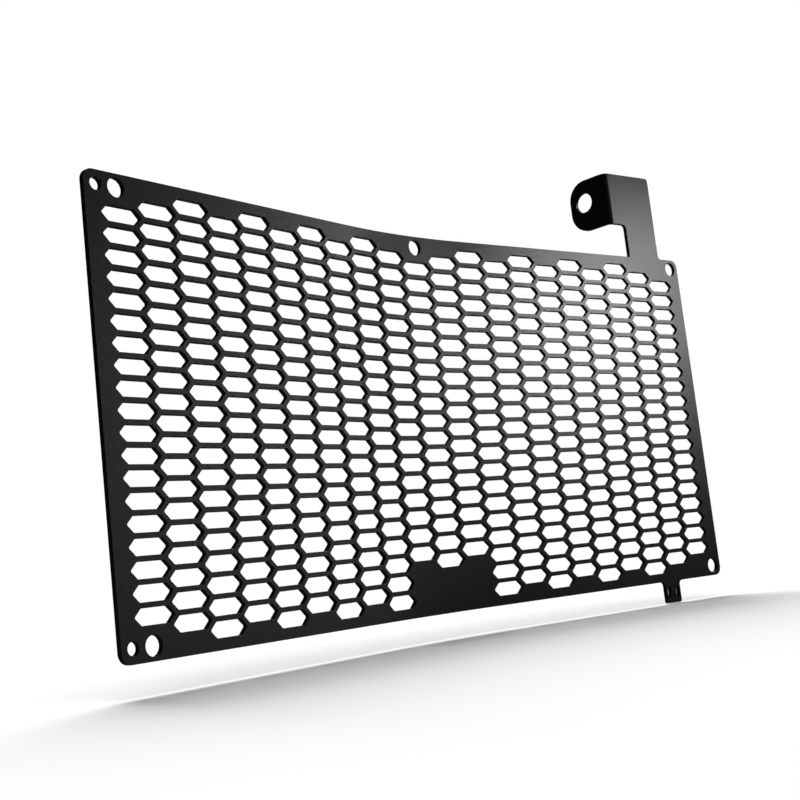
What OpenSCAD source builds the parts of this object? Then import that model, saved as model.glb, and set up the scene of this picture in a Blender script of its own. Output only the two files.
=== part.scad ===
// Radiator guard: one sheet of aluminium, cut, bent and powder-coated.
// A wide rectangle of long hexagon openings, bent a little about an upright
// line near its middle so that both wings come forward. An arm stands on the
// top edge of the right wing; its end is folded back into an ear with the
// upper fixing hole. A slotted tongue hangs from the bottom edge below it.
//
// Frame: millimetres, Z up, front face towards -Y, X to the right along the
// sheet at the middle of the bend. The origin is the upper middle bolt hole,
// half way through the sheet.

/* [Sheet] */
// Width of the flat blank from edge to edge
sheet_w = 350; // [300:1:420]
// Height of the plate without arm and tongue
sheet_h = 164; // [120:1:200]
// Thickness of the aluminium with its coat
sheet_t = 2; // [1.5:0.1:3]
// Radius of the four plate corners
corner_r = 4; // [1:0.5:8]

/* [Bend] */
// Whole angle between the two wings
bend_angle = 14.6; // [5:0.1:30]
// Radius of the bend, half way through the sheet
bend_r = 265; // [150:5:400]
// How far the bend lies left of the middle of the blank
bend_offset = 7.2; // [0:0.1:12]

/* [Mesh] */
// Distance from one column of openings to the next
column_pitch = 16; // [14:0.1:17]
// Distance from one opening to the one below it
row_pitch = 7.5; // [7:0.1:8]
// Metal left between two openings
web = 1.9; // [1.4:0.1:3]
// Least metal between the openings and the left or right edge
side_rim = 6; // [5:0.5:12]
// Least metal between the openings and the top or bottom edge
level_rim = 3.5; // [3:0.5:12]

/* [Bolt holes] */
// Diameter of the large holes at the corners and in the middle
bolt_d = 7; // [5:0.1:8.5]
// Distance of all bolt hole centres from the top or bottom edge
bolt_in = 5; // [4.5:0.1:6]
// Distance of the large left holes from the left edge
left_bolt_in = 13.5; // [10:0.5:14]
// Distance of the large right hole from the right edge
right_bolt_in = 5.5; // [5:0.1:7]
// Diameter of the small holes in the left corners
small_d = 4.6; // [3:0.1:5]
// Distance of the small holes from the left edge
small_in = 5; // [4.5:0.1:6]

/* [Arm] */
// Width of the stem that stands on the top edge
stem_w = 21.4; // [15:0.1:30]
// Distance of the stem from the right edge of the plate
stem_in = 13.4; // [8:0.1:30]
// Height of the arm above the plate
arm_h = 43.4; // [36:0.1:60]
// Height of the upper part of the arm, which is also the ear's width
ear_w = 26.5; // [20:0.5:32]
// Distance from the stem to the start of the fold
fold_gap = 8; // [4:0.5:14]
// Radius of the inner corner and of the fillet beside the stem
arm_fillet = 2; // [1:0.5:4]
// Radius of the arm's outer corner
arm_corner = 1.8; // [0.5:0.1:4]

/* [Ear] */
// Angle through which the ear is folded back
fold_angle = 82.7; // [60:0.1:95]
// Inner radius of the fold
fold_r = 1.5; // [1:0.1:4]
// Flat length of the ear beyond the fold
ear_len = 20; // [17:0.5:30]
// Radius of the two rounded ear corners
ear_r = 10; // [4:0.5:10]
// Diameter of the fixing hole in the ear
ear_hole_d = 10; // [6:0.5:11]
// Distance of that hole from the end of the ear
ear_hole_in = 8.5; // [8:0.5:12]
// Height of that hole above the middle of the ear
ear_hole_up = 1.6; // [0:0.1:2]

/* [Tongue] */
// Distance of the tongue from the right edge of the plate
tongue_in = 32.1; // [10:0.1:60]
// Width of the tongue
tongue_w = 10.3; // [9:0.1:16]
// Length of the tongue below the plate
tongue_h = 10.4; // [9:0.1:16]
// Radius of the tongue's outer corners
tongue_r = 1.2; // [0.5:0.1:3]
// Radius of the fillets where the tongue meets the plate
tongue_fillet = 2; // [1:0.5:4]
// Width of each strap slot
slot_w = 2.2; // [1.5:0.1:2.6]
// Length of each strap slot
slot_h = 4.8; // [3:0.1:6]
// Distance between the middles of the two slots
slot_gap = 6; // [5:0.1:6.4]
// Metal below the slots
slot_up = 2.8; // [2:0.1:4]

/* [Look] */
// Colour of the powder coat
coat_colour = "#1c1c1e"; // color

/* [Hidden] */
half_angle = bend_angle / 2;
// Half the length of the bend along the sheet, to a hundredth of a millimetre
bend_half = round(bend_r * half_angle * PI / 180 * 100) / 100;
// How far a bent piece of sheet runs on into the flat sheet beside it
lap = 4;
// Where the bend meets the left and the right wing, along the blank
left_start = -bend_offset - bend_half;
right_start = -bend_offset + bend_half;
top = sheet_h / 2;
bottom = -sheet_h / 2;
left_edge = -sheet_w / 2;
right_edge = sheet_w / 2;
// Openings: half height, half length of the flat and half length to the tips
hex_h = (row_pitch - web) / 2;
hex_tip = (column_pitch + row_pitch / 2 - web * sqrt(2)) / 2;
hex_flat = hex_tip - hex_h;
// Columns of openings on each side of the middle one, as many as fit
side_columns = floor((sheet_w / 2 - side_rim - hex_tip) / column_pitch);
// Half rows from the middle up to the top opening of a column without offset
tall_top = 2 * floor((sheet_h / 2 - level_rim - hex_h) / row_pitch);
// Length of every cutter, well through the sheet
cut = sheet_t * 3;
// Both sides of the stem, and the start of the fold beside it
stem_right = right_edge - stem_in;
stem_left = stem_right - stem_w;
fold_line = stem_left - fold_gap;
arm_top = top + arm_h;
arm_under = arm_top - ear_w;
fold_mid = fold_r + sheet_t / 2;
// Left side and middle of the tongue, and the middle of its slots
tongue_left = right_edge - tongue_in - tongue_w;
tongue_mid = tongue_left + tongue_w / 2;
slot_z = bottom - tongue_h + slot_up + slot_h / 2;
// The upper middle bolt hole in the unmoved frame
hole_turn = bend_offset / bend_r * 180 / PI;
hole_x = bend_r * sin(hole_turn) - bend_offset;
hole_y = -bend_r * (1 - cos(hole_turn));
hole_z = top - bolt_in;

// Half rows from the middle to the last opening of a full column. Columns are
// counted from the middle one, which is 0, and every other one is offset by
// half a row.
function full_rows(c) = tall_top - abs(c) % 2;

// Half rows up to the top opening: the middle column gives way to the bolt
// hole there, and the outermost ones to the rounded corners
function top_row(c) = full_rows(c) - (c == 0 || abs(c) == side_columns ? 2 : 0);

// Half rows to the bottom opening: three columns give way to the bare panel
function bottom_row(c) =
    -full_rows(c) + (abs(c) <= 1 ? 4 : abs(c) == side_columns ? 2 : 0);

// One long hexagon with 45 degree ends
module opening() {
    polygon([
        [-hex_tip, 0],
        [-hex_flat, -hex_h],
        [hex_flat, -hex_h],
        [hex_tip, 0],
        [hex_flat, hex_h],
        [-hex_flat, hex_h]
    ]);
}

// All openings of one column, its middle at x = 0
module column(c) {
    for (row = [bottom_row(c) : 2 : top_row(c)])
        translate([0, row * row_pitch / 2])
            opening();
}

// What a rounded corner takes away: corner at the origin, metal towards +x +y
module corner_cut(r) {
    difference() {
        translate([-1, -1])
            square(r + 1);
        translate([r, r])
            circle(r);
    }
}

// What a fillet adds in an inner corner at the origin, opening towards +x +y
module fillet(r) {
    difference() {
        translate([-0.01, -0.01])
            square(r + 0.01);
        translate([r, r])
            circle(r);
    }
}

// Lays a flat outline (x along the sheet, y up) down as upright sheet metal
module upright() {
    translate([0, sheet_t / 2, 0])
        rotate([90, 0, 0])
            linear_extrude(sheet_t)
                children();
}

// Lays an outline down as a cutter through the upright sheet
module cutter() {
    translate([0, cut / 2, 0])
        rotate([90, 0, 0])
            linear_extrude(cut)
                children();
}

// Carries things from blank position 0 round the bend to blank position s
module carried(s) {
    d = s + bend_offset;
    beyond = sign(d) * max(0, abs(d) - bend_half);
    turn = (d - beyond) / bend_r * 180 / PI;
    translate([-bend_offset, -bend_r, 0])
        rotate([0, 0, -turn])
            translate([beyond, bend_r, 0])
                children();
}

// The frame of a wing, side 1 right and -1 left, with x counted along the blank
module on_wing(side) {
    translate([-bend_offset, -bend_r, 0])
        rotate([0, 0, -side * half_angle])
            translate([bend_offset - side * bend_half, bend_r, 0])
                children();
}

// True where a column's openings reach into the bend or its laps
function in_bend(c) = abs(c * column_pitch + bend_offset) < bend_half + lap + hex_tip;

module column_at(c) {
    translate([c * column_pitch, 0])
        column(c);
}

// Outline of the left wing in the flat, holes and flat columns taken out
module left_wing() {
    difference() {
        translate([left_edge, bottom])
            square([left_start - left_edge, sheet_h]);
        translate([left_edge, bottom])
            corner_cut(corner_r);
        translate([left_edge, top])
            mirror([0, 1])
                corner_cut(corner_r);
        for (side = [-1, 1]) {
            translate([left_edge + left_bolt_in, side * hole_z])
                circle(d = bolt_d);
            translate([left_edge + small_in, side * hole_z])
                circle(d = small_d);
        }
        for (c = [-side_columns : -1])
            if (!in_bend(c))
                column_at(c);
    }
}

// Outline of the right wing in the flat, without arm and tongue
module right_plate() {
    difference() {
        translate([right_start, bottom])
            square([right_edge - right_start, sheet_h]);
        translate([right_edge, bottom])
            mirror([1, 0])
                corner_cut(corner_r);
        translate([right_edge, top])
            rotate(180)
                corner_cut(corner_r);
        for (side = [-1, 1])
            translate([right_edge - right_bolt_in, side * hole_z])
                circle(d = bolt_d);
        for (c = [1 : side_columns])
            if (!in_bend(c))
                column_at(c);
    }
}

// The stem of the arm in the flat, its outer corner and its fillets
module arm_outline() {
    difference() {
        translate([stem_left, top])
            square([stem_right - stem_left, arm_h]);
        translate([stem_right, arm_top])
            rotate(180)
                corner_cut(arm_corner);
    }
    translate([stem_left, arm_under])
        rotate(180)
            fillet(arm_fillet);
    translate([stem_right, top])
        fillet(arm_fillet);
}

// A slot with round ends, its middle at the origin
module slot() {
    straight = slot_h - slot_w;
    translate([-slot_w / 2, -straight / 2])
        square([slot_w, straight]);
    for (end = [-1, 1])
        translate([0, end * straight / 2])
            circle(d = slot_w);
}

// The tongue in the flat, with its fillets and the two strap slots
module tongue_outline() {
    difference() {
        translate([tongue_left, bottom - tongue_h])
            square([tongue_w, tongue_h]);
        translate([tongue_left, bottom - tongue_h])
            corner_cut(tongue_r);
        translate([tongue_left + tongue_w, bottom - tongue_h])
            mirror([1, 0])
                corner_cut(tongue_r);
        for (side = [-1, 1])
            translate([tongue_mid + side * slot_gap / 2, slot_z])
                slot();
    }
    translate([tongue_left, bottom])
        rotate(180)
            fillet(tongue_fillet);
    translate([tongue_left + tongue_w, bottom])
        mirror([0, 1])
            fillet(tongue_fillet);
}

// What is cut from the ear in the flat: its two end corners and the fixing
// hole. The fold is at x = 0, the end towards -x.
module ear_cuts() {
    translate([-ear_len, arm_under])
        corner_cut(ear_r);
    translate([-ear_len, arm_top])
        mirror([0, 1])
            corner_cut(ear_r);
    translate([-ear_len + ear_hole_in, (arm_top + arm_under) / 2 + ear_hole_up])
        circle(d = ear_hole_d);
}

// A rectangle seen from above, from x0 to x1 and from y0 to y1
module block(x0, x1, y0, y1) {
    translate([x0, y0])
        square([x1 - x0, y1 - y0]);
}

// The thickness of the sheet seen from above, from x0 to x1
module strip(x0, x1) {
    block(x0, x1, -sheet_t / 2, sheet_t / 2);
}

// A ring of sheet seen from above, the middle of its thickness at radius r
module ring(r) {
    difference() {
        circle(r = r + sheet_t / 2);
        circle(r = r - sheet_t / 2);
    }
}

// All that lies beyond x = 0 towards +x, for rings of radius r
module half_plane(r) {
    translate([0, -3 * r])
        square(6 * r);
}

// The bent middle of the sheet, still without its openings
module bent_middle() {
    translate([0, 0, bottom])
        linear_extrude(sheet_h) {
            difference() {
                translate([-bend_offset, -bend_r])
                    ring(bend_r);
                on_wing(1)
                    translate([right_start, 0])
                        half_plane(bend_r);
                on_wing(-1)
                    translate([left_start, 0])
                        mirror([1, 0])
                            half_plane(bend_r);
            }
            on_wing(1)
                strip(right_start, right_start + lap);
            on_wing(-1)
                strip(left_start - lap, left_start);
        }
}

// The frame of the ear: x = 0 at the end of the fold, the ear towards -x
module on_ear() {
    translate([0, fold_mid, 0])
        rotate([0, 0, -fold_angle])
            translate([0, -fold_mid, 0])
                children();
}

// Fold and ear seen from above. The fold starts at x = 0 and runs to the left
// and back; the upper part of the arm lies to the right of it.
module fold_section() {
    reach = 2 * fold_mid + sheet_t;
    difference() {
        union() {
            translate([0, fold_mid])
                circle(r = fold_r + sheet_t);
            block(0, fold_gap + lap, -sheet_t / 2, fold_mid);
            on_ear()
                block(-ear_len, 0, -sheet_t / 2, fold_mid);
        }
        translate([0, fold_mid])
            circle(r = fold_r);
        block(0, fold_gap + lap + 1, sheet_t / 2, reach);
        on_ear()
            block(-ear_len - 1, 0, sheet_t / 2, reach);
    }
}

// The upper part of the arm with the folded ear
module folded_ear() {
    difference() {
        translate([0, 0, arm_under])
            linear_extrude(ear_w)
                fold_section();
        on_ear()
            cutter()
                ear_cuts();
    }
}

// The right wing with arm and tongue, and the folded ear
module right_side() {
    upright()
        union() {
            right_plate();
            arm_outline();
            tongue_outline();
        }
    translate([fold_line, 0, 0])
        folded_ear();
}

// The columns that reach into the bend, and the upper middle bolt hole
module bend_cutters() {
    for (c = [-side_columns : side_columns])
        if (in_bend(c))
            carried(c * column_pitch)
                cutter()
                    column(c);
    carried(0)
        translate([0, 0, hole_z])
            rotate([90, 0, 0])
                cylinder(d = bolt_d, h = cut, center = true);
}

// The whole guard in one piece
module guard() {
    color(coat_colour)
        translate([-hole_x, -hole_y, -hole_z])
            difference() {
                union() {
                    bent_middle();
                    on_wing(1)
                        right_side();
                    on_wing(-1)
                        upright()
                            left_wing();
                }
                bend_cutters();
            }
}

guard();
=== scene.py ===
"""A motorcycle radiator guard in satin black powder coat, over a white studio floor.

The guard is one sheet of aluminium: cut flat with its long hexagon openings,
bent a little about an upright line, its arm folded back into an ear. This file
makes it the same way. The outline and every opening are closed loops on the
flat blank, the cut edges are rounded over, the two faces between the loops are
filled with triangles, and every point is then carried from the blank round the
bend and the fold. Sizes on the blank are in millimetres; a mesh is in metres.
"""

import logging
import math
from collections.abc import Sequence
from dataclasses import dataclass, field
from enum import Enum

import bpy
import numpy as np
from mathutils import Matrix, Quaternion, Vector
from mathutils.geometry import delaunay_2d_cdt

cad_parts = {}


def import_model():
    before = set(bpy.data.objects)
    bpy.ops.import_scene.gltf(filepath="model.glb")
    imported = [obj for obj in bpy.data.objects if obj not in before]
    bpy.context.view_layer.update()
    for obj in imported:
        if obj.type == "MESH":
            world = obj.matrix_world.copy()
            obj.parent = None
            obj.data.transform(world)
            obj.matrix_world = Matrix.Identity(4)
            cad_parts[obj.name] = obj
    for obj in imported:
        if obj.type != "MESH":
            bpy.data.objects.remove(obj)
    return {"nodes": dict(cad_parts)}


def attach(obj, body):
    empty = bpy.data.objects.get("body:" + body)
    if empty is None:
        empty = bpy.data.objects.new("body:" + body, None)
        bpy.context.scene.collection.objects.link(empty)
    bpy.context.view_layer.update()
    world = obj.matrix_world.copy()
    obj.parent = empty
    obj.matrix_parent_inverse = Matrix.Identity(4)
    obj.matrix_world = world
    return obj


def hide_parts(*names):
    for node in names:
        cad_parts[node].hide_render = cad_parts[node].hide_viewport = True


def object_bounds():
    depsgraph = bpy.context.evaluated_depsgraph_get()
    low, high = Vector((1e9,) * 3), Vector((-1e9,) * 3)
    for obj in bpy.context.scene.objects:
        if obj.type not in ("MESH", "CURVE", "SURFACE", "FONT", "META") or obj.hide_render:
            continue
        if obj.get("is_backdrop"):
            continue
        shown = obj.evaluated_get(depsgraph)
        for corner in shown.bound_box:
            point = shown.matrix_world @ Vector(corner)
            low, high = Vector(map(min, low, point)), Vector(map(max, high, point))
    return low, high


LOG = logging.getLogger("radiator_guard")

MM = 0.001  # one millimetre in metres
FLOOR_GAP = 0.0003  # from the tongue down to the floor, in metres

SAME_POINT = 1e-6  # neighbours on a loop this close are one point, in mm
SAME_CORNER = 1e-5  # the triangulation's own tolerance, in mm
INSIDE = 1  # the triangulation gives only triangles inside the sides
NO_AREA = 1e-9  # a triangle is dropped if twice its area is less, in mm2
FAR_OFF = 1e3  # more than any distance on the blank, in mm
NO_OPENING = -1  # loop number of a point that is on no opening

EDGE = "edge"  # the mesh attribute that shows the coat where the edges are
CAMERA_RAY = "Is Camera Ray"  # the Light Path output for the camera's rays

PLATE = (0.0, 0.0, -0.08)  # an aim for lamps: the middle of the plate
SHADE = (0.0, -0.05, -0.17)  # another aim: the floor in front of the plate


class Side(Enum):
    """The two faces of the sheet, by the sign of their depth."""

    FRONT = 1.0
    BACK = -1.0


class Falls(Enum):
    """What a lamp falls on; the rest is kept in the shade of a flag."""

    OBJECT = "object"
    FLOOR = "floor"


# ---------------------------------------------------------------- the flat blank


@dataclass(frozen=True)
class Loops:
    """Closed loops on the blank, all with equally many points.

    The metal lies to the left of the way round a loop: outlines run
    anticlockwise and openings clockwise.

    Attributes:
        points: Places on the cut edge, (loops, points, 2), along and up.
        outward: Unit vectors out of the metal at those places, same shape.
        hole: True where the loops are openings and not the outline.
    """

    points: np.ndarray
    outward: np.ndarray
    hole: bool = True

    def at(self, centres: np.ndarray) -> "Loops":
        """Copies the first loop to each of several centres.

        Args:
            centres: Where the copies go, (loops, 2).

        Returns:
            The copies, one row each.
        """
        points = self.points[0][None] + centres[:, None, :]
        outward = np.broadcast_to(self.outward[0][None], points.shape)
        return Loops(points, outward, self.hole)


def unit(vectors: np.ndarray) -> np.ndarray:
    """Scales vectors in the last axis to length one."""
    return vectors / np.linalg.norm(vectors, axis=-1, keepdims=True)


def turned(vector: np.ndarray, angles: np.ndarray) -> np.ndarray:
    """Turns one flat vector anticlockwise through each of the angles."""
    cos, sin = np.cos(angles), np.sin(angles)
    return np.stack(
        [vector[0] * cos - vector[1] * sin, vector[0] * sin + vector[1] * cos], -1
    )


def rounded_loop(
    corners: Sequence[tuple[float, float, float]],
    arc_step: float,
    longest: float = math.inf,
    hole: bool = True,
) -> Loops:
    """Works out one closed loop with round corners.

    At a corner of radius r the way turns by an angle a. The arc starts
    r * tan(a / 2) before the corner and ends as far behind it. Its centre lies
    r to the inner side of the turn, and its points are the centre plus or
    minus r times the outward vector, which turns evenly through a.

    Args:
        corners: Each corner as along, up and radius, metal to the left.
        arc_step: Largest angle between two points of an arc, in radians.
        longest: Longest step along a straight side, in millimetres.
        hole: True for an opening, False for the outline.

    Returns:
        The loop, as Loops with a single row.
    """
    place = np.array([c[:2] for c in corners])
    radius = np.array([c[2] for c in corners])
    ahead = unit(np.roll(place, -1, axis=0) - place)
    behind = np.roll(ahead, 1, axis=0)
    turn = np.arctan2(
        behind[:, 0] * ahead[:, 1] - behind[:, 1] * ahead[:, 0],
        (behind * ahead).sum(1),
    )
    reach = radius * np.tan(np.abs(turn) / 2)
    right = np.stack([behind[:, 1], -behind[:, 0]], 1)
    points, outward = [], []
    for i, angle in enumerate(turn):
        steps = math.ceil(abs(angle) / arc_step) if radius[i] > 0 else 0
        if steps:
            way = turned(right[i], angle * np.linspace(0.0, 1.0, steps + 1))
            bow = math.copysign(radius[i], angle)
            arc = place[i] - behind[i] * reach[i] + bow * (way - right[i])
        else:
            way = turned(right[i], np.array([angle / 2]))
            arc = place[i][None]
        j = (i + 1) % len(place)
        start = place[i] + ahead[i] * reach[i]
        side = place[j] - ahead[i] * reach[j] - start
        parts = max(1, math.ceil(np.linalg.norm(side) / longest))
        between = start + side * (np.arange(1, parts) / parts)[:, None]
        straight = turned(right[i], np.full(parts - 1, angle))
        points += [arc, between]
        outward += [way, straight]
    points, outward = np.concatenate(points), np.concatenate(outward)
    gap = np.linalg.norm(points - np.roll(points, 1, axis=0), axis=1)
    kept = gap > SAME_POINT
    return Loops(points[kept][None], outward[kept][None], hole)


def round_loop(diameter: float, count: int) -> Loops:
    """Works out a round hole about the origin, clockwise.

    A point at angle a is the radius times (cos a, sin a), and the vector out
    of the metal points from there to the centre.

    Args:
        diameter: The hole's diameter in millimetres.
        count: Number of points round it.

    Returns:
        The hole, as Loops with a single row.
    """
    angle = -2 * np.pi * np.arange(count) / count
    ray = np.stack([np.cos(angle), np.sin(angle)], 1)
    return Loops((ray * diameter / 2)[None], -ray[None])


@dataclass(frozen=True)
class Mesh:
    """The pattern of long hexagon openings with 45 degree ends.

    Lengths are in millimetres; full, bolt_rows and panel_rows are counted in
    half rows.
    """

    column_pitch: float = 16.0
    row_pitch: float = 7.5
    web: float = 1.9
    side_columns: int = 10
    full: int = 20
    bolt_rows: int = 2
    panel_rows: int = 4
    panel_side_columns: int = 1
    corner: float = 0.35
    corner_step: float = math.pi / 2

    @property
    def half_height(self) -> float:
        """Half the height of an opening."""
        return (self.row_pitch - self.web) / 2

    @property
    def half_length(self) -> float:
        """Half the length of an opening, from the middle to a tip."""
        return (
            self.column_pitch + self.row_pitch / 2 - self.web * math.sqrt(2)
        ) / 2

    def opening(self, longest: float = math.inf) -> Loops:
        """Works out one opening about the origin, its corners as cut.

        Args:
            longest: Longest step along its straight sides.

        Returns:
            The opening, as Loops with a single row.
        """
        tip, high = self.half_length, self.half_height
        flat = tip - high
        corners = [
            (tip, 0, self.corner),
            (flat, -high, self.corner),
            (-flat, -high, self.corner),
            (-tip, 0, self.corner),
            (-flat, high, self.corner),
            (flat, high, self.corner),
        ]
        return rounded_loop(corners, self.corner_step, longest)

    def centres(self) -> np.ndarray:
        """Works out the middles of all openings.

        Columns are counted from the middle one. Rows are counted in half
        pitches, and every other column is offset by one half row. A full
        column runs from -full to full; the outermost ones are one opening
        shorter at both ends, the middle one gives way to a bolt hole at the
        top, and three columns give way to the bare panel at the bottom.

        Returns:
            The middles, along and up, (openings, 2).
        """
        column = np.arange(-self.side_columns, self.side_columns + 1)
        row = np.arange(-self.full, self.full + 1)
        column, row = (a.ravel() for a in np.meshgrid(column, row))
        away = np.abs(column)
        reach = self.full - away % 2
        outer = away == self.side_columns
        top = reach - self.bolt_rows * (outer | (away == 0))
        panel = away <= self.panel_side_columns
        bottom = -reach + np.where(panel, self.panel_rows, self.bolt_rows * outer)
        there = (row >= bottom) & (row <= top) & ((row + reach) % 2 == 0)
        along = column[there] * self.column_pitch
        return np.stack([along, row[there] * self.row_pitch / 2], 1)


@dataclass(frozen=True)
class Bend:
    """How the flat blank becomes the bent and folded sheet.

    The plate bends about an upright line, both wings coming forward. The end
    of the arm folds back about a second upright line. Lengths are in
    millimetres, angles in radians, and both radii are those of the middle of
    the sheet.
    """

    radius: float = 265.0
    half_angle: float = math.radians(7.3)
    half_length: float = 33.76
    offset: float = 7.2
    fold_line: float = 132.2
    fold_radius: float = 2.5
    fold_angle: float = math.radians(82.7)
    fold_above: float = 90.0
    fold_steps: int = 12
    origin_along: float = 0.0
    origin_up: float = 77.0

    @property
    def fold_length(self) -> float:
        """Length of the fold along the middle of the sheet."""
        return self.fold_radius * self.fold_angle

    @property
    def fold_end(self) -> float:
        """Place along the blank where the fold ends and the ear lies flat."""
        return self.fold_line - self.fold_length

    def fold_stations(self) -> np.ndarray:
        """Places along the blank at which the fold is split, left to right."""
        share = np.linspace(1, 0, self.fold_steps + 1)
        return self.fold_line - self.fold_length * share

    def in_bend(self, along: np.ndarray, reach: float) -> np.ndarray:
        """Tells for each place whether it is within reach of the bend."""
        return np.abs(along + self.offset) < self.half_length + reach

    def _bent(
        self, along: np.ndarray, back: np.ndarray
    ) -> tuple[np.ndarray, np.ndarray, np.ndarray]:
        """Carries points of the blank, seen from above, round the bend.

        Within the bend a point moves on a circle of the bend's radius plus
        its distance behind the middle of the sheet; beyond it the rest of the
        way is straight on.

        Args:
            along: Places along the middle of the sheet.
            back: Distance of each behind the middle of the sheet.

        Returns:
            To the right, back, and the angle turned.
        """
        way = along + self.offset
        straight = np.sign(way) * np.maximum(np.abs(way) - self.half_length, 0)
        turn = self.half_angle * (way - straight) / self.half_length
        ring = self.radius + back
        right = ring * np.sin(turn) + straight * np.cos(turn) - self.offset
        away = ring * np.cos(turn) - straight * np.sin(turn) - self.radius
        return right, away, turn

    def carried(
        self, blank: np.ndarray, depth: np.ndarray
    ) -> tuple[np.ndarray, np.ndarray]:
        """Carries points from the blank to the finished shape.

        In the fold a point turns about a centre that lies fold_radius behind
        the sheet, at the distance fold_radius + depth; past the fold it goes
        straight on. The bend follows as in _bent.

        Args:
            blank: Places as along and up, (points, 2), in millimetres.
            depth: Distance of each in front of the middle of the sheet.

        Returns:
            The points in metres in the part's frame, (points, 3), and the
            angle by which the sheet is turned at each.
        """
        along, up = blank[:, 0], blank[:, 1]
        past = np.where(up > self.fold_above, self.fold_line - along, 0.0)
        past = np.maximum(past, 0.0)
        angle = np.minimum(past / self.fold_radius, self.fold_angle)
        rest = past - angle * self.fold_radius
        ring = self.fold_radius + depth
        folded_along = self.fold_line - ring * np.sin(angle) - rest * np.cos(angle)
        folded_back = self.fold_radius - ring * np.cos(angle) + rest * np.sin(angle)
        flat = past <= 0
        right, away, turn = self._bent(
            np.where(flat, along, folded_along), np.where(flat, -depth, folded_back)
        )
        zero = self._bent(np.array([self.origin_along]), np.array([0.0]))
        points = np.stack([right - zero[0], away - zero[1], up - self.origin_up], 1)
        return points * MM, turn + angle

    @staticmethod
    def directions(angle: np.ndarray) -> tuple[np.ndarray, np.ndarray]:
        """Works out which way the sheet runs and faces.

        Where it is turned by an angle a, it runs along (cos a, -sin a) and
        faces (-sin a, -cos a), seen from above.

        Args:
            angle: The angle by which the sheet is turned at each point.

        Returns:
            The way along the sheet and the way out of its front, (points, 3).
        """
        zero = np.zeros_like(angle)
        along = np.stack([np.cos(angle), -np.sin(angle), zero], 1)
        front = np.stack([-np.sin(angle), -np.cos(angle), zero], 1)
        return along, front


# ------------------------------------------------------------------- the finish


def node(
    tree: bpy.types.NodeTree,
    kind: str,
    inputs: dict[str, object] | None = None,
    **settings: object,
) -> bpy.types.Node:
    """Adds a shader node.

    Args:
        tree: The node tree to add to.
        kind: The node's type name.
        inputs: Input socket values by socket name.
        **settings: Values of the node's own properties.

    Returns:
        The new node.
    """
    made = tree.nodes.new(kind)
    for name, value in settings.items():
        setattr(made, name, value)
    for name, value in (inputs or {}).items():
        made.inputs[name].default_value = value
    return made


def link(
    tree: bpy.types.NodeTree,
    source: bpy.types.Node,
    output: str,
    target: bpy.types.Node,
    socket: str | int,
) -> None:
    """Joins one node's named output to another's input."""
    tree.links.new(source.outputs[output], target.inputs[socket])


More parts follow.
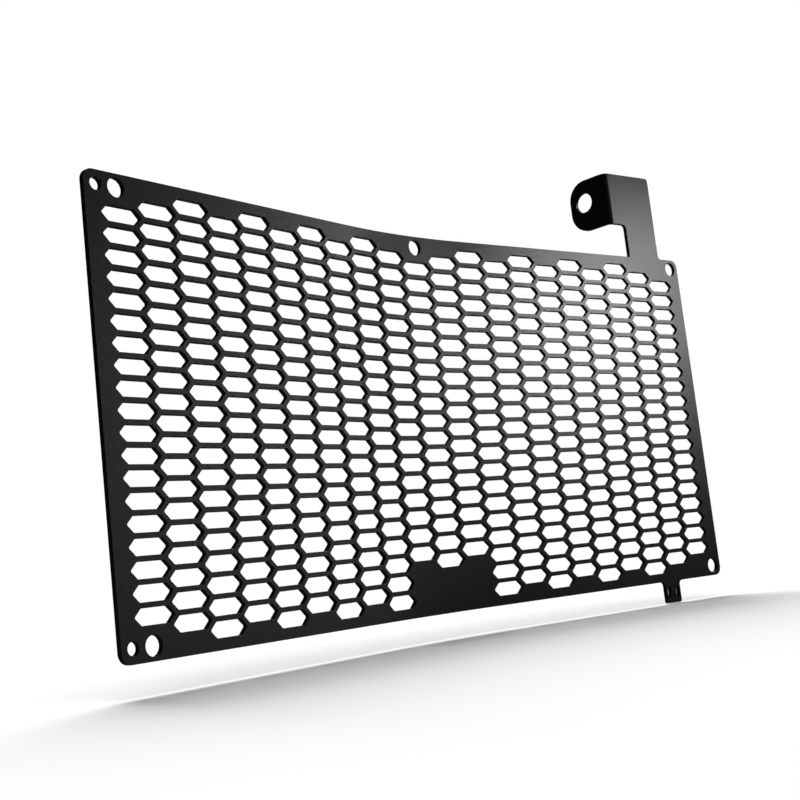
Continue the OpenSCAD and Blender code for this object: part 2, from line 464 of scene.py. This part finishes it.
@dataclass(frozen=True)
class PowderCoat:
    """Satin black polyester powder coat on aluminium sheet.

    Baked powder levels out into a fine skin: grains under half a millimetre
    stay faintly visible in the gloss, a slower ripple of two or three
    millimetres lies under them, and the coat draws thin on the cut edges.
    Colours are linear, heights in metres, and grains, ripples and clouds are
    counted per metre.
    """

    name: str = "satin_black_powder_coat"
    dark: tuple[float, float, float] = (0.0155, 0.0155, 0.0165)
    light: tuple[float, float, float] = (0.0215, 0.0215, 0.0225)
    thin: tuple[float, float, float] = (0.032, 0.032, 0.034)
    ior: float = 1.5
    smooth: float = 0.34
    rough: float = 0.42
    smooth_below: float = 0.3
    rough_above: float = 0.7
    grains: float = 2600.0
    grain_detail: float = 2.0
    ripples: float = 420.0
    ripple_detail: float = 1.0
    clouds: float = 22.0
    cloud_detail: float = 3.0
    grain_height: float = 0.000012
    ripple_height: float = 0.00003

    def material(self) -> bpy.types.Material:
        """Builds the node material on Object coordinates.

        Colour: a slow cloud mixes the dark and the light black, and the
        edge attribute brings in the thin coat. Roughness: the grain mixes
        smooth and rough. Bump: ripples first, grain on top of them.

        Returns:
            The material.
        """
        made = bpy.data.materials.new(self.name)
        made.use_nodes = True
        tree = made.node_tree
        tree.nodes.clear()
        output = node(tree, "ShaderNodeOutputMaterial")
        shader = node(tree, "ShaderNodeBsdfPrincipled", {"IOR": self.ior})
        where = node(tree, "ShaderNodeTexCoord")
        cloud = self._noise(tree, where, self.clouds, self.cloud_detail)
        grain = self._noise(tree, where, self.grains, self.grain_detail)
        ripple = self._noise(tree, where, self.ripples, self.ripple_detail)

        black = node(tree, "ShaderNodeMix", data_type="RGBA")
        black.inputs["A"].default_value = (*self.dark, 1.0)
        black.inputs["B"].default_value = (*self.light, 1.0)
        edge = node(tree, "ShaderNodeAttribute", attribute_name=EDGE)
        worn = node(tree, "ShaderNodeMath", operation="MULTIPLY")
        coat = node(tree, "ShaderNodeMix", data_type="RGBA")
        coat.inputs["B"].default_value = (*self.thin, 1.0)
        link(tree, cloud, "Fac", black, "Factor")
        link(tree, edge, "Fac", worn, 0)
        link(tree, cloud, "Fac", worn, 1)
        link(tree, worn, "Value", coat, "Factor")
        link(tree, black, "Result", coat, "A")
        link(tree, coat, "Result", shader, "Base Color")

        gloss = node(
            tree,
            "ShaderNodeMapRange",
            {
                "From Min": self.smooth_below,
                "From Max": self.rough_above,
                "To Min": self.smooth,
                "To Max": self.rough,
            },
        )
        link(tree, grain, "Fac", gloss, "Value")
        link(tree, gloss, "Result", shader, "Roughness")

        low, high = (
            node(tree, "ShaderNodeBump", {"Strength": 1.0, "Distance": height})
            for height in (self.ripple_height, self.grain_height)
        )
        link(tree, ripple, "Fac", low, "Height")
        link(tree, grain, "Fac", high, "Height")
        link(tree, low, "Normal", high, "Normal")
        link(tree, high, "Normal", shader, "Normal")
        link(tree, shader, "BSDF", output, "Surface")
        return made

    @staticmethod
    def _noise(
        tree: bpy.types.NodeTree, where: bpy.types.Node, scale: float, detail: float
    ) -> bpy.types.Node:
        """Adds a noise texture on Object coordinates.

        Args:
            tree: The node tree to add to.
            where: The tree's Texture Coordinate node.
            scale: Cells of the noise per metre.
            detail: Number of finer octaves.

        Returns:
            The noise texture node.
        """
        made = node(tree, "ShaderNodeTexNoise", {"Scale": scale, "Detail": detail})
        link(tree, where, "Object", made, "Vector")
        return made


# -------------------------------------------------------------------- the sheet


@dataclass
class CoatedSheet:
    """The whole guard: one cut, bent and folded sheet with its coat.

    Lengths are in millimetres on the blank, whose middle is the plate's.
    """

    name: str = "guard_sheet"
    width: float = 350.0
    height: float = 164.0
    thickness: float = 2.0
    corner: float = 4.0
    bolt: float = 7.0
    bolt_in: float = 5.0
    left_bolt_in: float = 13.5
    right_bolt_in: float = 5.5
    bolt_points: int = 40
    small_bolt: float = 4.6
    small_in: float = 5.0
    small_bolt_points: int = 32
    stem: tuple[float, float] = (140.2, 161.6)
    arm_height: float = 43.4
    ear_width: float = 26.5
    ear_length: float = 20.0
    ear_radius: float = 10.0
    ear_bolt: float = 10.0
    ear_bolt_in: float = 8.5
    ear_bolt_up: float = 1.6
    ear_bolt_points: int = 48
    arm_corner: float = 1.8
    arm_fillet: float = 2.0
    tongue: tuple[float, float] = (132.6, 142.9)
    tongue_height: float = 10.4
    tongue_corner: float = 1.2
    tongue_fillet: float = 2.0
    slot: tuple[float, float] = (2.2, 4.8)
    slot_gap: float = 6.0
    slot_up: float = 2.8
    slot_arc_step: float = math.radians(22.5)
    panel_along: tuple[float, float] = (-20.0, 20.0)
    panel_up: tuple[float, float] = (-78.0, -66.0)
    panel_step: float = 4.0
    rounding: float = 0.12
    rounding_rings: int = 3
    longest: float = 4.0
    arc_step: float = math.radians(12.0)
    mesh: Mesh = field(default_factory=Mesh)
    bend: Bend = field(default_factory=Bend)

    def outline(self) -> Loops:
        """Works out the blank's outline: plate, arm with ear, and tongue.

        Returns:
            The outline, anticlockwise, as Loops with a single row.
        """
        left, right = -self.width / 2, self.width / 2
        bottom, top = -self.height / 2, self.height / 2
        arm_top = top + self.arm_height
        arm_under = arm_top - self.ear_width
        fold = self.bend.fold_stations()
        ear_end = self.bend.fold_end - self.ear_length
        foot = bottom - self.tongue_height
        corners = [
            (left, bottom, self.corner),
            (self.tongue[0], bottom, self.tongue_fillet),
            (self.tongue[0], foot, self.tongue_corner),
            (self.tongue[1], foot, self.tongue_corner),
            (self.tongue[1], bottom, self.tongue_fillet),
            (right, bottom, self.corner),
            (right, top, self.corner),
            (self.stem[1], top, self.arm_fillet),
            (self.stem[1], arm_top, self.arm_corner),
            *((float(s), arm_top, 0.0) for s in fold[::-1]),
            (ear_end, arm_top, self.ear_radius),
            (ear_end, arm_under, self.ear_radius),
            *((float(s), arm_under, 0.0) for s in fold),
            (self.stem[0], arm_under, self.arm_fillet),
            (self.stem[0], top, 0.0),
            (left, top, self.corner),
        ]
        return rounded_loop(corners, self.arc_step, self.longest, hole=False)

    def bolt_holes(self) -> list[Loops]:
        """Works out the round holes.

        Returns:
            The large holes, the small ones and the one in the ear.
        """
        level = self.height / 2 - self.bolt_in
        half = self.width / 2
        large = [
            (-half + self.left_bolt_in, level),
            (-half + self.left_bolt_in, -level),
            (half - self.right_bolt_in, level),
            (half - self.right_bolt_in, -level),
            (0.0, level),
        ]
        small = [(-half + self.small_in, level), (-half + self.small_in, -level)]
        ear_middle = self.height / 2 + self.arm_height - self.ear_width / 2
        ear_end = self.bend.fold_end - self.ear_length
        ear = [(ear_end + self.ear_bolt_in, ear_middle + self.ear_bolt_up)]
        return [
            round_loop(self.bolt, self.bolt_points).at(np.array(large)),
            round_loop(self.small_bolt, self.small_bolt_points).at(np.array(small)),
            round_loop(self.ear_bolt, self.ear_bolt_points).at(np.array(ear)),
        ]

    def slots(self) -> Loops:
        """Works out the two strap slots with round ends in the tongue.

        Returns:
            The slots, one row each.
        """
        wide, high = self.slot[0] / 2, self.slot[1] / 2
        corners = [
            (wide, high, wide),
            (wide, -high, wide),
            (-wide, -high, wide),
            (-wide, high, wide),
        ]
        foot = -self.height / 2 - self.tongue_height
        middle = sum(self.tongue) / 2
        up = foot + self.slot_up + high
        side = self.slot_gap / 2
        places = np.array([(middle - side, up), (middle + side, up)])
        return rounded_loop(corners, self.slot_arc_step).at(places)

    def loops(self) -> list[Loops]:
        """Gathers the blank's loops; openings in the bend get more points.

        Returns:
            The outline first, then all openings, holes and slots.
        """
        centres = self.mesh.centres()
        bent = self.bend.in_bend(centres[:, 0], self.mesh.half_length)
        return [
            self.outline(),
            self.mesh.opening().at(centres[~bent]),
            self.mesh.opening(self.longest).at(centres[bent]),
            *self.bolt_holes(),
            self.slots(),
        ]

    def panel_points(self) -> np.ndarray:
        """Works out points inside the bare panel, so that it bends smoothly.

        Returns:
            A grid of places, along and up, (points, 2).
        """
        step = self.panel_step
        along, up = np.meshgrid(
            np.arange(self.panel_along[0], self.panel_along[1] + step / 2, step),
            np.arange(self.panel_up[0], self.panel_up[1] + step / 2, step),
        )
        return np.stack([along.ravel(), up.ravel()], 1)

    def _fold_edges(self, flat: np.ndarray) -> np.ndarray:
        """Finds the pairs of outline points that the fold's lines join.

        Args:
            flat: The outline's points moved in by the rounding, (points, 2).

        Returns:
            Pairs of point numbers, one pair for each line of the fold.
        """
        stations = self.bend.fold_stations()
        on_arm = flat[:, 1] > self.bend.fold_above
        gap = np.abs(flat[:, 0][:, None] - stations) + FAR_OFF * ~on_arm[:, None]
        upper = flat[:, 1] > flat[on_arm, 1].mean()
        high = np.argmin(gap + FAR_OFF * ~upper[:, None], axis=0)
        low = np.argmin(gap + FAR_OFF * upper[:, None], axis=0)
        return np.stack([high, low], 1)

    def surface(self) -> tuple[np.ndarray, ...]:
        """Works out the closed surface of the finished sheet.

        The cut edge has a round profile: at an angle a above the wall the
        surface lies rounding * (1 - cos a) in from the edge, at the depth
        thickness / 2 - rounding * (1 - sin a), and its normal leans by a from
        the way out of the cut to the way out of the face. Rings of points at
        equal steps of a run from the front face over the wall to the back,
        and a face is the triangulated blank between the innermost rings.

        Returns:
            Points, normals, edge share of each point, triangles, quads.
        """
        loops = self.loops()
        cut = np.concatenate([g.points.reshape(-1, 2) for g in loops])
        out = np.concatenate([g.outward.reshape(-1, 2) for g in loops])
        following, owner = self._loop_numbers(loops)
        count, inner = len(cut), self.panel_points()
        sides = [Side.FRONT.value, Side.BACK.value]

        lean = np.linspace(math.pi / 2, 0.0, self.rounding_rings)
        lean = np.concatenate([lean, -lean[::-1]])
        inset = self.rounding * (1 - np.cos(lean))
        depth = self.thickness / 2 - self.rounding * (1 - np.abs(np.sin(lean)))
        depth = np.repeat(sides, self.rounding_rings) * depth

        blank = (cut[None] - inset[:, None, None] * out[None]).reshape(-1, 2)
        blank = np.concatenate([blank, inner, inner])
        side = np.repeat(sides, len(inner))
        deep = np.concatenate([np.repeat(depth, count), side * self.thickness / 2])
        facing = np.concatenate([np.repeat(np.sin(lean), count), side])
        sideways = np.concatenate(
            [np.tile(out, (len(lean), 1)), np.zeros((len(side), 2))]
        )
        points, angle = self.bend.carried(blank, deep)
        along, front = self.bend.directions(angle)
        share = np.sqrt(np.clip(1 - facing**2, 0, 1))[:, None]
        up = np.array([0.0, 0.0, 1.0])
        normals = unit(
            share * (sideways[:, :1] * along + sideways[:, 1:] * up)
            + facing[:, None] * front
        )
        edge = 2 * share[:, 0] * np.abs(facing)

        rings = len(lean)
        first = np.arange(rings - 1)[:, None] * count
        here, there = first + np.arange(count), first + following
        quads = np.stack([here, here + count, there + count, there], -1)
        face = self._face(blank[:count], inner, following, owner)
        rim, free = np.arange(count), rings * count + np.arange(len(inner))
        front_of = np.concatenate([rim, free])
        back_of = np.concatenate([(rings - 1) * count + rim, free + len(inner)])
        triangles = np.concatenate([front_of[face], back_of[face][:, ::-1]])
        return points, normals, edge, triangles, quads.reshape(-1, 4)

    @staticmethod
    def _loop_numbers(loops: list[Loops]) -> tuple[np.ndarray, np.ndarray]:
        """Numbers the loops' points in order.

        Args:
            loops: The groups of loops.

        Returns:
            For each point the number of the next one round its loop, and the
            number of its loop, which is NO_OPENING for the outline.
        """
        following, owner, start, loop = [], [], 0, 0
        for group in loops:
            rows, size = group.points.shape[:2]
            index = start + np.arange(rows * size).reshape(rows, size)
            following.append(np.roll(index, -1, axis=1).ravel())
            number = loop + np.arange(rows) if group.hole else np.full(rows, NO_OPENING)
            owner.append(np.repeat(number, size))
            start, loop = start + rows * size, loop + rows
        return np.concatenate(following), np.concatenate(owner)

    def _face(
        self,
        rim: np.ndarray,
        inner: np.ndarray,
        following: np.ndarray,
        owner: np.ndarray,
    ) -> np.ndarray:
        """Fills the blank between its loops with triangles.

        A constrained Delaunay triangulation keeps every loop's sides and the
        lines of the fold. A triangle whose three corners lie on one opening
        is inside that opening, since openings are convex, and goes.

        Args:
            rim: Points of all loops, moved in by the rounding.
            inner: Free points of the bare panel.
            following: For each rim point the next one round its loop.
            owner: For each rim point the number of its loop.

        Returns:
            Triangles by point number, anticlockwise seen from the front.
        """
        flat = np.concatenate([rim, inner])
        outline = np.flatnonzero(owner == NO_OPENING)
        fixed = np.concatenate(
            [
                np.stack([np.arange(len(rim)), following], 1),
                outline[self._fold_edges(rim[outline])],
            ]
        )
        _, _, found, origins, _, _ = delaunay_2d_cdt(
            [Vector(p) for p in flat.tolist()], fixed.tolist(), [], INSIDE, SAME_CORNER
        )
        number = np.array([ids[0] for ids in origins])
        face = number[np.array(found)]
        loop = np.concatenate([owner, np.full(len(inner), NO_OPENING)])[face]
        inside = (loop[:, 0] != NO_OPENING) & (loop == loop[:, :1]).all(1)
        face = face[~inside]
        a, b, c = (flat[face[:, i]] for i in range(3))
        area = (b - a)[:, 0] * (c - a)[:, 1] - (b - a)[:, 1] * (c - a)[:, 0]
        face[area < 0] = face[area < 0][:, ::-1]
        return face[np.abs(area) > NO_AREA]

    def build(self, finish: PowderCoat) -> bpy.types.Object:
        """Makes the sheet's mesh object and dresses it.

        Args:
            finish: The coat that it is given.

        Returns:
            The object, at the origin of the part's frame.
        """
        points, normals, edge, triangles, quads = self.surface()
        made = bpy.data.meshes.new(self.name)
        faces = [*triangles.tolist(), *quads.tolist()]
        made.from_pydata(points.tolist(), [], faces, shade_flat=False)
        share = made.attributes.new(EDGE, "FLOAT", "POINT")
        share.data.foreach_set("value", edge.astype(np.float32))
        made.normals_split_custom_set_from_vertices(normals.tolist())
        made.materials.append(finish.material())
        sheet = bpy.data.objects.new(self.name, made)
        bpy.context.scene.collection.objects.link(sheet)
        count = len(triangles) + 2 * len(quads)
        LOG.info("%s: %d points, %d triangles", self.name, len(points), count)
        return sheet


# ------------------------------------------------------------------- the studio


@dataclass(frozen=True)
class SoftBox:
    """A rectangular lamp; a grid before it may narrow its beam.

    Attributes:
        name: What the lamp is called.
        place: Where it stands, in metres.
        aim: The point that it faces.
        size: Its width and height in metres.
        power: Its power in watts.
        falls_on: The one thing that it lights.
        spread: The angle of its beam, in radians.
    """

    name: str
    place: tuple[float, float, float]
    aim: tuple[float, float, float]
    size: tuple[float, float]
    power: float
    falls_on: Falls
    spread: float = math.pi

    def build(self, lit: dict[Falls, bpy.types.Collection]) -> bpy.types.Object:
        """Makes the lamp, facing its aim, out of the camera's sight.

        Args:
            lit: For each kind of lamp the collection that it falls on.

        Returns:
            The lamp.
        """
        data = bpy.data.lights.new(self.name, "AREA")
        data.shape = "RECTANGLE"
        data.size, data.size_y = self.size
        data.energy = self.power
        data.spread = self.spread
        lamp = bpy.data.objects.new(self.name, data)
        lamp.location = self.place
        way = Vector(self.aim) - Vector(self.place)
        lamp.rotation_euler = way.to_track_quat("-Z", "Y").to_euler()
        lamp.visible_camera = False
        lamp.light_linking.receiver_collection = lit[self.falls_on]
        bpy.context.scene.collection.objects.link(lamp)
        LOG.info("lamp %s: %.3f W", self.name, self.power)
        return lamp


@dataclass
class Studio:
    """White floor and surroundings, lamps, and the photograph's camera.

    A lamp lights either the floor or the object, so that the object keeps its
    dark reflections and the black walls of its openings. Lengths are in
    metres but for the lens and the sensor, which are in millimetres.
    """

    floor_z: float
    floor_half: float = 6.0
    floor_white: float = 0.96
    floor_dim: float = 0.04
    white_from: float = 0.3
    white_at: float = 0.7
    surroundings: float = 0.02
    sensor: float = 36.0
    lens: float = 55.814
    clip: tuple[float, float] = (0.01, 50.0)
    camera_place: tuple[float, float, float] = (-0.3835, -0.3691, -0.13868)
    camera_turn: tuple[float, float, float, float] = (
        0.593334,
        0.711799,
        -0.246415,
        -0.283861,
    )
    lamps: tuple[SoftBox, ...] = (
        SoftBox(
            name="high_rear",
            place=(2.24, 3.82, 6.46),
            aim=SHADE,
            size=(5.0, 5.5),
            power=680.0,
            falls_on=Falls.FLOOR,
        ),
        SoftBox(
            name="high_front",
            place=(-1.69, -2.98, 7.08),
            aim=SHADE,
            size=(5.0, 4.0),
            power=210.0,
            falls_on=Falls.FLOOR,
        ),
        SoftBox(
            name="fill",
            place=(1.2, -1.2, -0.05),
            aim=PLATE,
            size=(1.4, 0.8),
            power=0.8,
            falls_on=Falls.OBJECT,
        ),
        SoftBox(
            name="rear",
            place=(0.9, 0.9, 0.3),
            aim=PLATE,
            size=(0.8, 0.8),
            power=3.0,
            falls_on=Falls.OBJECT,
        ),
        SoftBox(
            name="key",
            place=(0.415, -0.402, 0.09),
            aim=(0.128, -0.01, -0.052),
            size=(0.12, 0.12),
            power=0.031,
            falls_on=Falls.OBJECT,
            spread=math.radians(23.8),
        ),
        SoftBox(
            name="side",
            place=(0.865, -0.055, 0.151),
            aim=(0.273, -0.01, -0.132),
            size=(0.12, 0.36),
            power=1.0,
            falls_on=Falls.OBJECT,
            spread=math.radians(42.4),
        ),
    )

    def build_floor(self) -> bpy.types.Object:
        """Makes the floor: white to the camera, dim to all other rays.

        Near the object it is white paper that takes the object's shadow;
        further off it passes smoothly into plain white, so that it has no
        horizon. Other rays find it dim, as the photograph's reflections are.

        Returns:
            The floor.
        """
        h, z = self.floor_half, self.floor_z
        made = bpy.data.meshes.new("floor")
        corners = [(-h, -h, z), (h, -h, z), (h, h, z), (-h, h, z)]
        made.from_pydata(corners, [], [(0, 1, 2, 3)])
        material = bpy.data.materials.new("white_floor")
        material.use_nodes = True
        tree = material.node_tree
        tree.nodes.clear()
        output = node(tree, "ShaderNodeOutputMaterial")
        rays = node(tree, "ShaderNodeLightPath")
        where = node(tree, "ShaderNodeTexCoord")
        away = node(tree, "ShaderNodeVectorMath", operation="LENGTH")
        fade = node(
            tree,
            "ShaderNodeMapRange",
            {"From Min": self.white_from, "From Max": self.white_at},
            interpolation_type="SMOOTHSTEP",
        )
        grey = [(level,) * 3 + (1.0,) for level in (self.floor_white, self.floor_dim)]
        paper = node(tree, "ShaderNodeBsdfDiffuse", {"Color": grey[0]})
        dim = node(tree, "ShaderNodeBsdfDiffuse", {"Color": grey[1]})
        bright = node(tree, "ShaderNodeEmission", {"Strength": 1.0})
        faded = node(tree, "ShaderNodeMixShader")
        seen = node(tree, "ShaderNodeMixShader")
        link(tree, where, "Object", away, 0)
        link(tree, away, "Value", fade, "Value")
        link(tree, fade, "Result", faded, "Fac")
        link(tree, paper, "BSDF", faded, 1)
        link(tree, bright, "Emission", faded, 2)
        link(tree, rays, CAMERA_RAY, seen, "Fac")
        link(tree, dim, "BSDF", seen, 1)
        link(tree, faded, "Shader", seen, 2)
        link(tree, seen, "Shader", output, "Surface")
        made.materials.append(material)
        floor = bpy.data.objects.new("floor", made)
        bpy.context.scene.collection.objects.link(floor)
        floor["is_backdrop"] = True
        LOG.info("floor at %.4f m", z)
        return floor

    def build_world(self) -> bpy.types.World:
        """Makes the surroundings: white to the camera, dim grey to the object.

        Returns:
            The world.
        """
        world = bpy.data.worlds.new("studio")
        world.use_nodes = True
        tree = world.node_tree
        tree.nodes.clear()
        rays = node(tree, "ShaderNodeLightPath")
        room = node(tree, "ShaderNodeBackground", {"Strength": self.surroundings})
        white = node(tree, "ShaderNodeBackground", {"Strength": 1.0})
        for each in (room, white):
            each.inputs["Color"].default_value = (1.0, 1.0, 1.0, 1.0)
        seen = node(tree, "ShaderNodeMixShader")
        output = node(tree, "ShaderNodeOutputWorld")
        link(tree, rays, CAMERA_RAY, seen, "Fac")
        link(tree, room, "Background", seen, 1)
        link(tree, white, "Background", seen, 2)
        link(tree, seen, "Shader", output, "Surface")
        bpy.context.scene.world = world
        LOG.info("surroundings at %.2f", self.surroundings)
        return world

    def build_camera(self) -> bpy.types.Object:
        """Makes the camera and sets it as the scene's.

        Returns:
            The camera.
        """
        data = bpy.data.cameras.new("camera")
        data.sensor_width = self.sensor
        data.lens = self.lens
        data.clip_start, data.clip_end = self.clip
        camera = bpy.data.objects.new("camera", data)
        camera.location = self.camera_place
        camera.rotation_mode = "QUATERNION"
        camera.rotation_quaternion = Quaternion(self.camera_turn)
        bpy.context.scene.collection.objects.link(camera)
        bpy.context.scene.camera = camera
        return camera

    def build(self, sheet: bpy.types.Object) -> None:
        """Makes everything round the object.

        Args:
            sheet: The object, which the lamps for the object fall on.
        """
        floor = self.build_floor()
        self.build_world()
        lit = {}
        for kind, receiver in ((Falls.OBJECT, sheet), (Falls.FLOOR, floor)):
            lit[kind] = bpy.data.collections.new("lit_" + kind.value)
            lit[kind].objects.link(receiver)
        for lamp in self.lamps:
            lamp.build(lit)
        self.build_camera()
        bpy.context.scene.view_settings.view_transform = "Standard"


def main() -> None:
    """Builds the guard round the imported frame, then the studio."""
    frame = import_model()
    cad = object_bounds()
    logging.basicConfig(level=logging.INFO, format="%(name)s: %(message)s")
    LOG.info("frame: %s", ", ".join(frame["nodes"]))
    sheet = CoatedSheet().build(PowderCoat())
    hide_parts("guard")
    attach(sheet, "root")
    Studio(floor_z=cad[0].z - FLOOR_GAP).build(sheet)


if __name__ == "__main__":
    main()
